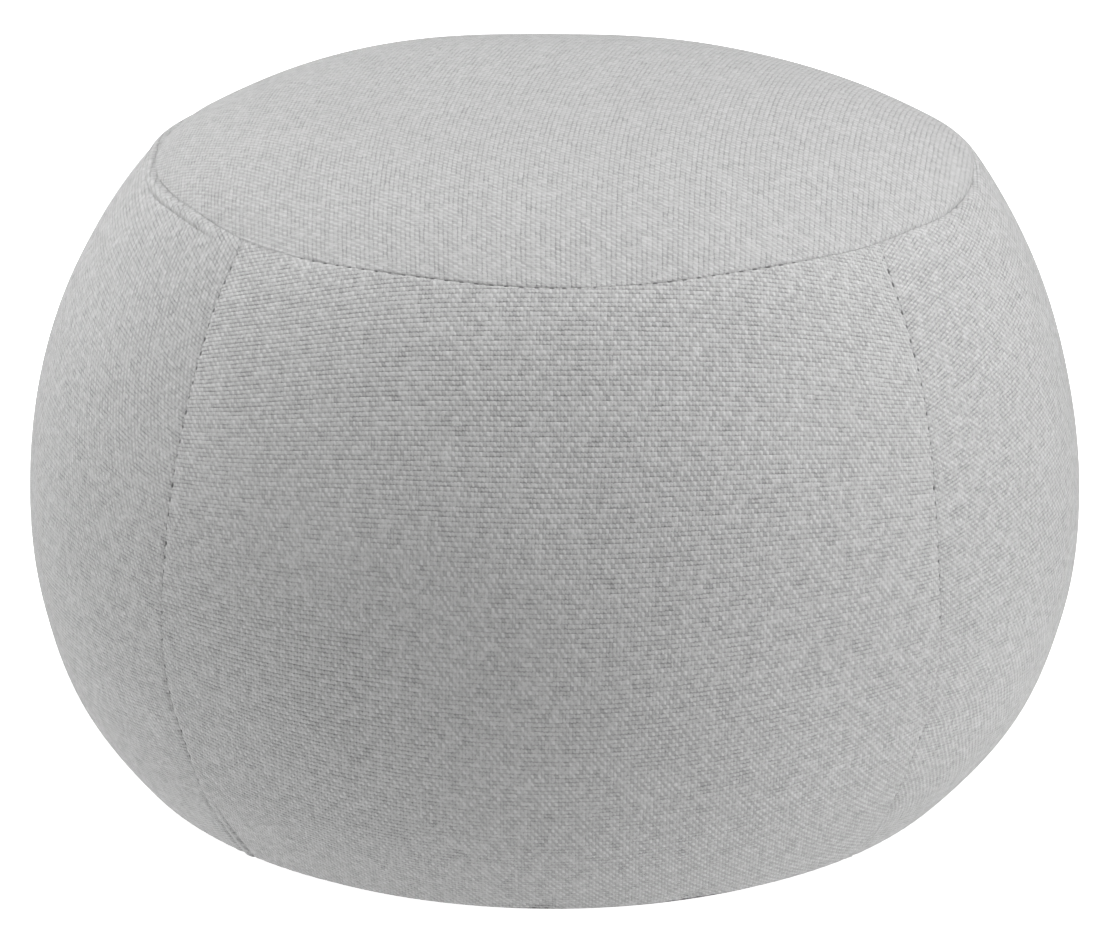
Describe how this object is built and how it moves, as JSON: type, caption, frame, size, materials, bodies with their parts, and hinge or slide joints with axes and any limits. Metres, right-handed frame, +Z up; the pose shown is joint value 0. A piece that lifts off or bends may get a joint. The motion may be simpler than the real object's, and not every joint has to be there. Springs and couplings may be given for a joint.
{
  "type": "upholstered pouf",
  "caption": "Round bulging floor pouf in light grey woven cloth, with a crowned top panel, shaped side panels and plain sewn seams; a soft seat or footrest.",
  "frame": {"origin": "on the floor, under the middle of the pouf", "axes": "+Z up; -Y is the front, +X is to the right seen from the front"},
  "size_m": [0.6, 0.6, 0.3848],
  "materials": {
    "woven_cloth": "matte light grey plain weave with a soft nap",
    "base_cloth": "matte plain grey base cloth"
  },
  "bodies": {
    "root": {"top_panel": "woven_cloth", "side_panel_front": "woven_cloth", "side_panel_right": "woven_cloth", "side_panel_back": "woven_cloth", "side_panel_left": "woven_cloth", "base_panel": "base_cloth"}
  },
  "joints": []
}
